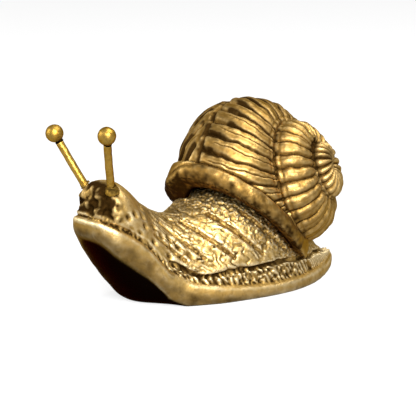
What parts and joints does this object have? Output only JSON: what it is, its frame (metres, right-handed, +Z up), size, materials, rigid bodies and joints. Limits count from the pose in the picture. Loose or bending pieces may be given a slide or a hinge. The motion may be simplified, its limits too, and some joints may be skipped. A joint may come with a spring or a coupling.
{
  "type": "snail figurine",
  "caption": "Patinated brass snail ornament: hollow-cast body on a broad foot, ribbed spiral shell and rod-and-ball eyes; stands free as decoration or a paperweight.",
  "frame": {"origin": "middle of the part's box, on the plane that the foot stands on", "axes": "+Z up, +Y from head to tail, +X towards the snail's left side, where the spire points"},
  "size_m": [0.0462, 0.093, 0.0536],
  "materials": {
    "cast_brass": "cast brass with dark patina in the recesses, rubbed bright on the raised parts",
    "shell_brass": "cast brass, satin on the ribs, dark brown patina in the grooves",
    "rod_brass": "drawn brass, lightly tarnished",
    "solder": "brazed brass fillet, dull",
    "dark_solder": "blackened braze ring",
    "steel_fixing": "plain zinc-plated steel"
  },
  "bodies": {
    "root": {"body_casting": "cast_brass", "shell_casting": "shell_brass", "shell_screw": "steel_fixing", "shell_washer": "steel_fixing", "left_eye_stalk": "rod_brass", "right_eye_stalk": "rod_brass", "left_eye_ball": "rod_brass", "right_eye_ball": "rod_brass", "left_stalk_solder": "solder", "right_stalk_solder": "solder", "left_ball_solder": "dark_solder", "right_ball_solder": "dark_solder"}
  },
  "joints": []
}
